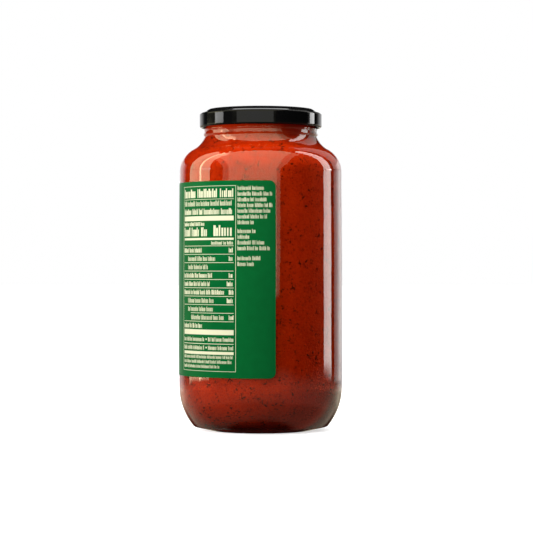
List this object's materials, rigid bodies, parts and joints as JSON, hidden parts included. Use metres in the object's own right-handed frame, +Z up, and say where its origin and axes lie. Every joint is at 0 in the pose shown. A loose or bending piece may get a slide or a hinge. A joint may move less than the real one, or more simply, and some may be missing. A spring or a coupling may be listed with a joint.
{
  "type": "jar of tomato sauce",
  "caption": "Clear glass jar filled with red tomato sauce, shut by a black twist-off lid and wrapped by a plain green label with cream printed panels.",
  "frame": {"origin": "centre of the circle that the jar stands on", "axes": "+Z up along the jar's axis; -Y points out of the side with the small printed panel"},
  "size_m": [0.0868, 0.0874, 0.169],
  "materials": {
    "clear_glass": "clear, polished soda-lime glass",
    "sauce": null,
    "lid_enamel": "gloss black enamel on tinplate",
    "label_print": "satin printed wrap label, green with cream fields"
  },
  "bodies": {
    "root": {"glass_jar": "clear_glass", "tomato_sauce": "sauce", "lid": "lid_enamel", "label": "label_print"}
  },
  "joints": []
}
